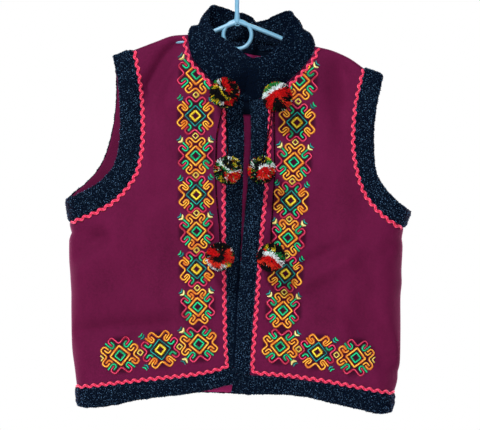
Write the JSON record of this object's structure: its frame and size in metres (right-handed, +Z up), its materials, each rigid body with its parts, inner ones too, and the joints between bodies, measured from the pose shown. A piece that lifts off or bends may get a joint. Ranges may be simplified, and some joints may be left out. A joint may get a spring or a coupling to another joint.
{
  "type": "embroidered folk vest on its hanger",
  "caption": "Sleeveless front-opening cloth vest with stand collar, plush edge bands, wavy braid and corded pompoms, hung on a plastic hook hanger.",
  "frame": {"origin": "inside top of the hanger's hook, where a rail carries it", "axes": "+Z up, -Y out of the vest's front, +X towards the wearer's left side"},
  "size_m": [0.4976, 0.0977, 0.6606],
  "materials": {
    "cloth": "felted wool cloth, smooth nap",
    "plush": "curly plush",
    "ricrac": "wavy braid",
    "pompom": "cut wool in several colours",
    "cord": "twisted wool",
    "hanger": "satin moulded plastic"
  },
  "bodies": {
    "root": {"back_panel": "cloth", "front_right": "cloth", "front_left": "cloth", "collar": "plush", "band_front_right": "plush", "band_front_left": "plush", "band_hem_right": "plush", "band_hem_left": "plush", "band_hem_back": "plush", "band_armhole_front_right": "plush", "band_armhole_front_left": "plush", "band_armhole_back_right": "plush", "band_armhole_back_left": "plush", "ricrac_front_right": "ricrac", "ricrac_front_left": "ricrac", "ricrac_neck_right": "ricrac", "ricrac_neck_left": "ricrac", "ricrac_neck_back": "ricrac", "ricrac_armhole_front_right": "ricrac", "ricrac_armhole_front_left": "ricrac", "ricrac_armhole_back_right": "ricrac", "ricrac_armhole_back_left": "ricrac", "ricrac_hem_back": "ricrac", "pompom_right_neck": "pompom", "pompom_left_neck": "pompom", "pompom_right_middle": "pompom", "pompom_left_middle": "pompom", "pompom_right_low": "pompom", "pompom_left_low": "pompom", "cord_right_long": "cord", "cord_right_short": "cord", "cord_left_long": "cord", "cord_left_short": "cord", "hanger": "hanger"}
  },
  "joints": []
}
